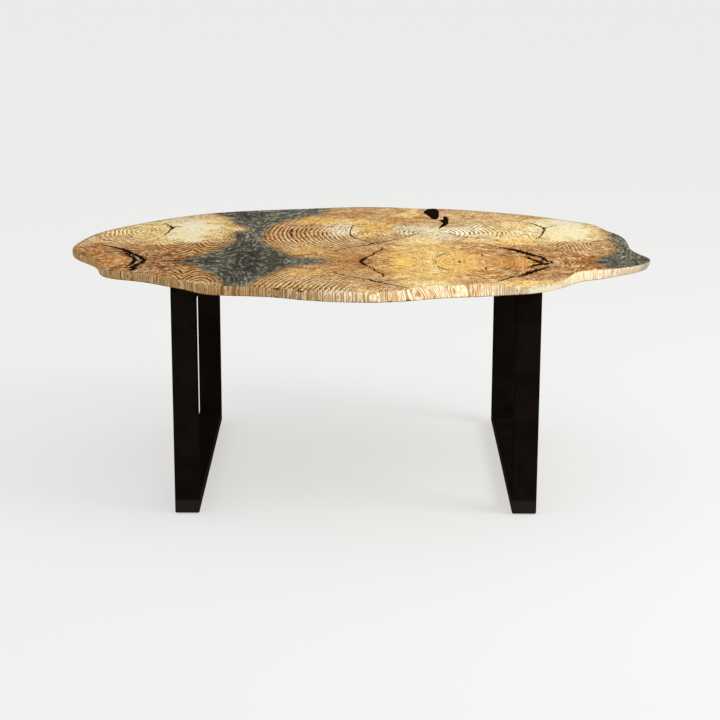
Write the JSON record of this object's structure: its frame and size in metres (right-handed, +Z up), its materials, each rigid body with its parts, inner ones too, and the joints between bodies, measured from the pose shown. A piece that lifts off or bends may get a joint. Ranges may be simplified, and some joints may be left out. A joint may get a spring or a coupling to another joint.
{
  "type": "live-edge slab table",
  "caption": "Dining table with a near-oval live-edge wood slab top, its knot and checks filled with black resin, on closed rectangular leg frames of black steel box section.",
  "frame": {"origin": "on the floor, under the middle of the slab's bounding box", "axes": "+X along the slab, from the left leg frame to the right one; +Y to the back; +Z up"},
  "size_m": [1.8439, 1.3889, 0.757],
  "materials": {
    "slab_wood": "satin oiled",
    "black_resin": "sanded and polished",
    "powder_coat": "satin powder coat",
    "black_oxide_steel": "black oxide",
    "insert_steel": "zinc plated",
    "glide_nylon": "moulded"
  },
  "bodies": {
    "root": {"slab_top": "slab_wood", "knot_resin": "black_resin", "knot_tail_resin": "black_resin", "left_check_resin": "black_resin", "right_check_resin": "black_resin", "centre_check_resin": "black_resin", "middle_check_resin": "black_resin", "left_mounting_plate": "powder_coat", "right_mounting_plate": "powder_coat", "left_front_upright": "powder_coat", "left_rear_upright": "powder_coat", "left_bottom_rail": "powder_coat", "left_top_rail": "powder_coat", "right_front_upright": "powder_coat", "right_rear_upright": "powder_coat", "right_bottom_rail": "powder_coat", "right_top_rail": "powder_coat", "plate_bolts": "black_oxide_steel", "slab_inserts": "insert_steel", "floor_glides": "glide_nylon"}
  },
  "joints": []
}
